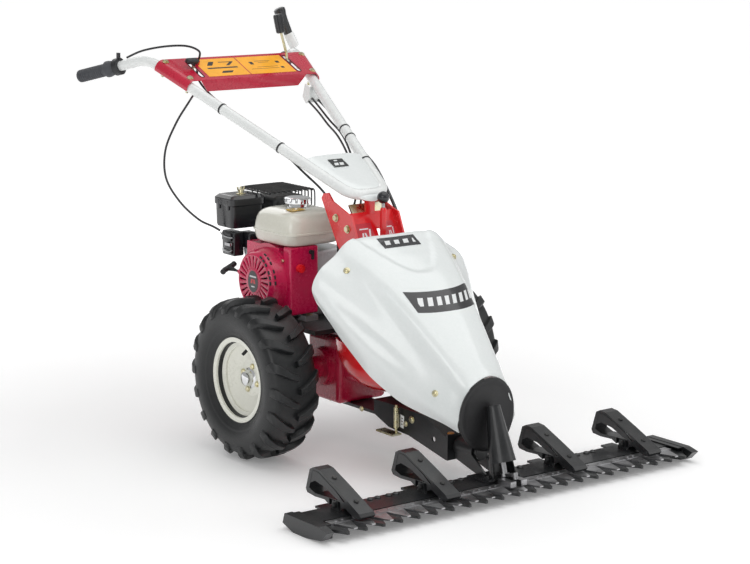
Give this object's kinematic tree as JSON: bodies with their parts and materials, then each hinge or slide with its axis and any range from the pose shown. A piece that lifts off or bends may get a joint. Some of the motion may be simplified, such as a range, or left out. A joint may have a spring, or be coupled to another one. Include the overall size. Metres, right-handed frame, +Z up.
{
  "type": "brush mower",
  "caption": "Walk-behind brush mower: front sickle bar with reciprocating knife, white teardrop hood, petrol engine, two lugged tyres and a handlebar with control panel.",
  "frame": {"origin": "on the ground, under the middle of the overall length and width", "axes": "-Y is the direction of travel, +Z up, X across with -X the operator’s right"},
  "size_m": [1.176, 1.5428, 1.1099],
  "materials": {
    "tyre": "moulded black rubber",
    "cream_paint": "semi-gloss cream enamel",
    "zinc": "yellow-passivated zinc plate",
    "dark_red_paint": "gloss enamel on cast iron",
    "red_paint": "gloss powder coat",
    "crimson_paint": "gloss powder coat",
    "black_paint": "satin powder coat",
    "white_hood": "glossy moulded plastic",
    "white_paint": "gloss powder coat on steel tube",
    "black_plastic": "textured moulded plastic",
    "black_rubber": "matt moulded rubber",
    "cast_aluminium": "as-cast, satin",
    "steel": "ground steel",
    "chrome": "bright chrome",
    "cream_plastic": "gloss cream",
    "engine_red": "gloss engine crimson",
    "red_plastic": "gloss red",
    "black_steel": "heat-resistant black"
  },
  "bodies": {
    "chassis": {"axle_housings": "dark_red_paint", "gearbox_case": "dark_red_paint", "clutch_bell": "red_paint", "frame_beam": "black_paint", "engine_bed": "black_paint", "handle_bracket": "red_paint", "hood": "white_hood", "nose_cover": "black_rubber", "crankcase": "cast_aluminium", "cylinder_head": "cast_aluminium", "blower_housing": "engine_red", "recoil_cover": "engine_red", "drive_belt": "black_rubber", "belt_guard": "black_paint", "fuel_tank": "cream_plastic", "air_cleaner": "black_plastic", "carburettor": "cast_aluminium", "muffler": "black_steel", "muffler_guard": "black_steel", "spark_plug": "black_rubber", "frame_bolts": "zinc"},
    "wheel_right": {"tyre_right": "tyre", "rim_right": "cream_paint", "hub_right": "steel", "wheel_bolts_right": "zinc"},
    "wheel_left": {"tyre_left": "tyre", "rim_left": "cream_paint", "hub_left": "steel", "wheel_bolts_left": "zinc"},
    "crank": {"crankshaft": "steel", "flywheel": "cast_aluminium"},
    "input_shaft": {"input_pulley": "steel"},
    "fuel_cap": {"fuel_cap": "chrome"},
    "choke_lever": {"choke_lever": "steel"},
    "fuel_tap": {"fuel_tap": "black_plastic"},
    "engine_switch": {"engine_switch": "red_plastic"},
    "starter_grip": {"starter_grip": "black_plastic"},
    "handlebar": {"handlebar": "white_paint", "control_panel": "crimson_paint", "panel_bolts": "zinc", "handle_grips": "black_rubber", "console_cover": "white_hood", "cables_right": "black_plastic", "cables_left": "black_plastic"},
    "throttle_lever": {"throttle_lever": "black_plastic"},
    "slot_lever": {"slot_lever": "black_plastic"},
    "bar_clutch_lever": {"bar_clutch_lever": "black_plastic"},
    "drive_lever": {"drive_lever": "black_rubber"},
    "gear_lever": {"gear_lever": "red_paint"},
    "release_pedal": {"release_pedal": "zinc"},
    "bar": {"back_bar": "black_paint", "bar_skids": "black_paint", "bar_carrier": "black_paint", "drive_guard": "black_paint"},
    "rocker": {"rocker": "steel"},
    "knife": {"knife": "steel"},
    "holder_1": {"holder_arm_1": "black_paint"},
    "holder_2": {"holder_arm_2": "black_paint"},
    "holder_3": {"holder_arm_3": "black_paint"},
    "holder_4": {"holder_arm_4": "black_paint"}
  },
  "joints": [
    {"name": "wheel_right_spin", "type": "hinge", "parent": "chassis", "child": "wheel_right", "pos_m": [-0.296, -0.0404, 0.21], "axis": [1, 0, 0], "continuous": true},
    {"name": "wheel_left_spin", "type": "hinge", "parent": "chassis", "child": "wheel_left", "pos_m": [0.296, -0.0404, 0.21], "axis": [1, 0, 0], "continuous": true},
    {"name": "crank_spin", "type": "hinge", "parent": "chassis", "child": "crank", "pos_m": [0, 0.0966, 0.429], "axis": [1, 0, 0], "continuous": true},
    {"name": "input_spin", "type": "hinge", "parent": "chassis", "child": "input_shaft", "pos_m": [0.07, -0.1584, 0.236], "axis": [1, 0, 0], "continuous": true},
    {"name": "fuel_cap_turn", "type": "hinge", "parent": "chassis", "child": "fuel_cap", "pos_m": [-0.075, 0.0806, 0.636], "axis": [0, 0, 1], "range_deg": [0, 90]},
    {"name": "choke_turn", "type": "hinge", "parent": "chassis", "child": "choke_lever", "pos_m": [-0.168, 0.2776, 0.5], "axis": [1, 0, 0], "range_deg": [0, 30]},
    {"name": "fuel_tap_turn", "type": "hinge", "parent": "chassis", "child": "fuel_tap", "pos_m": [-0.098, -0.0184, 0.512], "axis": [0, 1, 0], "range_deg": [0, 90]},
    {"name": "switch_turn", "type": "hinge", "parent": "chassis", "child": "engine_switch", "pos_m": [-0.132, -0.0204, 0.472], "axis": [0, 1, 0], "range_deg": [0, 60]},
    {"name": "starter_pull", "type": "slide", "parent": "chassis", "child": "starter_grip", "axis": [-0.1888, 0.9734, 0.1298], "range_m": [0, 0.5], "stiffness_N_per_m": 20},
    {"name": "handlebar_tilt", "type": "hinge", "parent": "chassis", "child": "handlebar", "pos_m": [0, -0.1324, 0.672], "axis": [1, 0, 0], "range_deg": [0, 8], "deforming": ["cables_right", "cables_left"]},
    {"name": "throttle_turn", "type": "hinge", "parent": "handlebar", "child": "throttle_lever", "pos_m": [-0.28335, 0.64042, 0.95592], "axis": [-0.3854, 0.8894, -0.2457], "range_deg": [0, 45]},
    {"name": "slot_lever_tilt", "type": "hinge", "parent": "handlebar", "child": "slot_lever", "pos_m": [-0.16, 0.46475, 0.93413], "axis": [1, 0, 0], "range_deg": [-22, 22]},
    {"name": "bar_clutch_tilt", "type": "hinge", "parent": "handlebar", "child": "bar_clutch_lever", "pos_m": [0.16, 0.4611, 0.9325], "axis": [1, 0, 0], "range_deg": [-12, 12]},
    {"name": "drive_lever_tilt", "type": "hinge", "parent": "handlebar", "child": "drive_lever", "pos_m": [0.235, 0.5346, 0.996], "axis": [1, 0, 0], "range_deg": [-14, 14]},
    {"name": "gear_lever_tilt", "type": "hinge", "parent": "chassis", "child": "gear_lever", "pos_m": [0.015, -0.1754, 0.545], "axis": [1, 0, 0], "range_deg": [-2, 8]},
    {"name": "pedal_press", "type": "slide", "parent": "chassis", "child": "release_pedal", "axis": [0, 0, -1], "range_m": [0, 0.015], "stiffness_N_per_m": 400},
    {"name": "bar_swing", "type": "hinge", "parent": "chassis", "child": "bar", "pos_m": [0, -0.5534, 0.088], "axis": [0, 1, 0], "range_deg": [-5, 5]},
    {"name": "knife_stroke", "type": "slide", "parent": "bar", "child": "knife", "axis": [1, 0, 0], "range_m": [-0.025, 0.025]},
    {"name": "rocker_swing", "type": "hinge", "parent": "bar", "child": "rocker", "pos_m": [0, -0.6864, 0.046], "axis": [0, 0.2723, 0.9622], "range_deg": [-38, 38]},
    {"name": "holder_1_lift", "type": "hinge", "parent": "bar", "child": "holder_1", "pos_m": [-0.456, -0.6404, 0.048], "axis": [-1, 0, 0], "range_deg": [0, 12]},
    {"name": "holder_2_lift", "type": "hinge", "parent": "bar", "child": "holder_2", "pos_m": [-0.202, -0.6404, 0.048], "axis": [-1, 0, 0], "range_deg": [0, 12]},
    {"name": "holder_3_lift", "type": "hinge", "parent": "bar", "child": "holder_3", "pos_m": [0.202, -0.6404, 0.048], "axis": [-1, 0, 0], "range_deg": [0, 12]},
    {"name": "holder_4_lift", "type": "hinge", "parent": "bar", "child": "holder_4", "pos_m": [0.456, -0.6404, 0.048], "axis": [-1, 0, 0], "range_deg": [0, 12]}
  ],
  "couplings": [
    {"joint": "wheel_left_spin", "follows": "wheel_right_spin", "ratio": 1},
    {"joint": "input_spin", "follows": "crank_spin", "ratio": 0.593},
    {"joint": "rocker_swing", "follows": "knife_stroke", "rad_per_m": 26}
  ]
}
